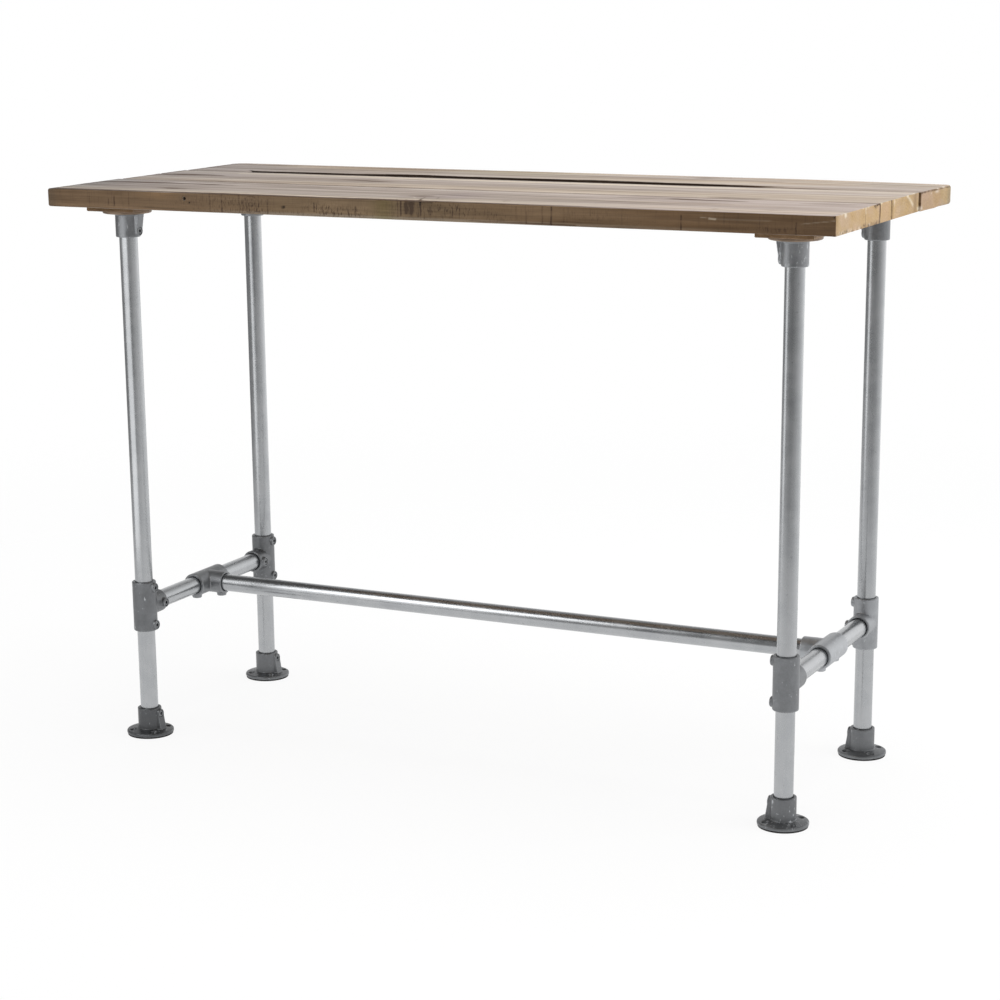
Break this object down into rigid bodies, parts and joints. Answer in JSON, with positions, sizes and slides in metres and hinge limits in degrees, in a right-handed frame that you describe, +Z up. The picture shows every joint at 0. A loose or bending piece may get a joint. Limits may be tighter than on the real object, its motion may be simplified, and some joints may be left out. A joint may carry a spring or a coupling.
{
  "type": "bar table",
  "caption": "Bar table with a top of reclaimed boards on a frame of galvanised tube and set-screw fittings, with end rails and a footrest tube.",
  "frame": {"origin": "on the floor, under the middle of the table", "axes": "+X along the table's length, to the right as the picture shows it; +Y towards its rear; +Z up"},
  "size_m": [1.5, 0.64, 1.05],
  "materials": {
    "reclaimed_board": "weathered",
    "batten_timber": "sawn",
    "galvanised_tube": "galvanised",
    "galvanised_casting": "galvanised, matt",
    "set_screw_steel": "satin",
    "wood_screw": "zinc",
    "pad_rubber": "matt"
  },
  "bodies": {
    "root": {"batten_left": "batten_timber", "batten_right": "batten_timber", "batten_screws_left": "wood_screw", "batten_screws_right": "wood_screw", "board_front": "reclaimed_board", "board_middle": "reclaimed_board", "board_rear": "reclaimed_board", "end_rail_front_left": "galvanised_tube", "end_rail_front_right": "galvanised_tube", "end_rail_rear_left": "galvanised_tube", "end_rail_rear_right": "galvanised_tube", "flange_screws_left": "wood_screw", "flange_screws_right": "wood_screw", "foot_flange_front_left": "galvanised_casting", "foot_flange_front_right": "galvanised_casting", "foot_flange_rear_left": "galvanised_casting", "foot_flange_rear_right": "galvanised_casting", "foot_pad_front_left": "pad_rubber", "foot_pad_front_right": "pad_rubber", "foot_pad_rear_left": "pad_rubber", "foot_pad_rear_right": "pad_rubber", "footrest_tube": "galvanised_tube", "leg_tee_front_left": "galvanised_casting", "leg_tee_front_right": "galvanised_casting", "leg_tee_rear_left": "galvanised_casting", "leg_tee_rear_right": "galvanised_casting", "lower_leg_front_left": "galvanised_tube", "lower_leg_front_right": "galvanised_tube", "lower_leg_rear_left": "galvanised_tube", "lower_leg_rear_right": "galvanised_tube", "rail_tee_left": "galvanised_casting", "rail_tee_right": "galvanised_casting", "set_screws_front_left": "set_screw_steel", "set_screws_front_right": "set_screw_steel", "set_screws_rail_tee_left": "set_screw_steel", "set_screws_rail_tee_right": "set_screw_steel", "set_screws_rear_left": "set_screw_steel", "set_screws_rear_right": "set_screw_steel", "top_flange_front_left": "galvanised_casting", "top_flange_front_right": "galvanised_casting", "top_flange_rear_left": "galvanised_casting", "top_flange_rear_right": "galvanised_casting", "upper_leg_front_left": "galvanised_tube", "upper_leg_front_right": "galvanised_tube", "upper_leg_rear_left": "galvanised_tube", "upper_leg_rear_right": "galvanised_tube"}
  },
  "joints": []
}
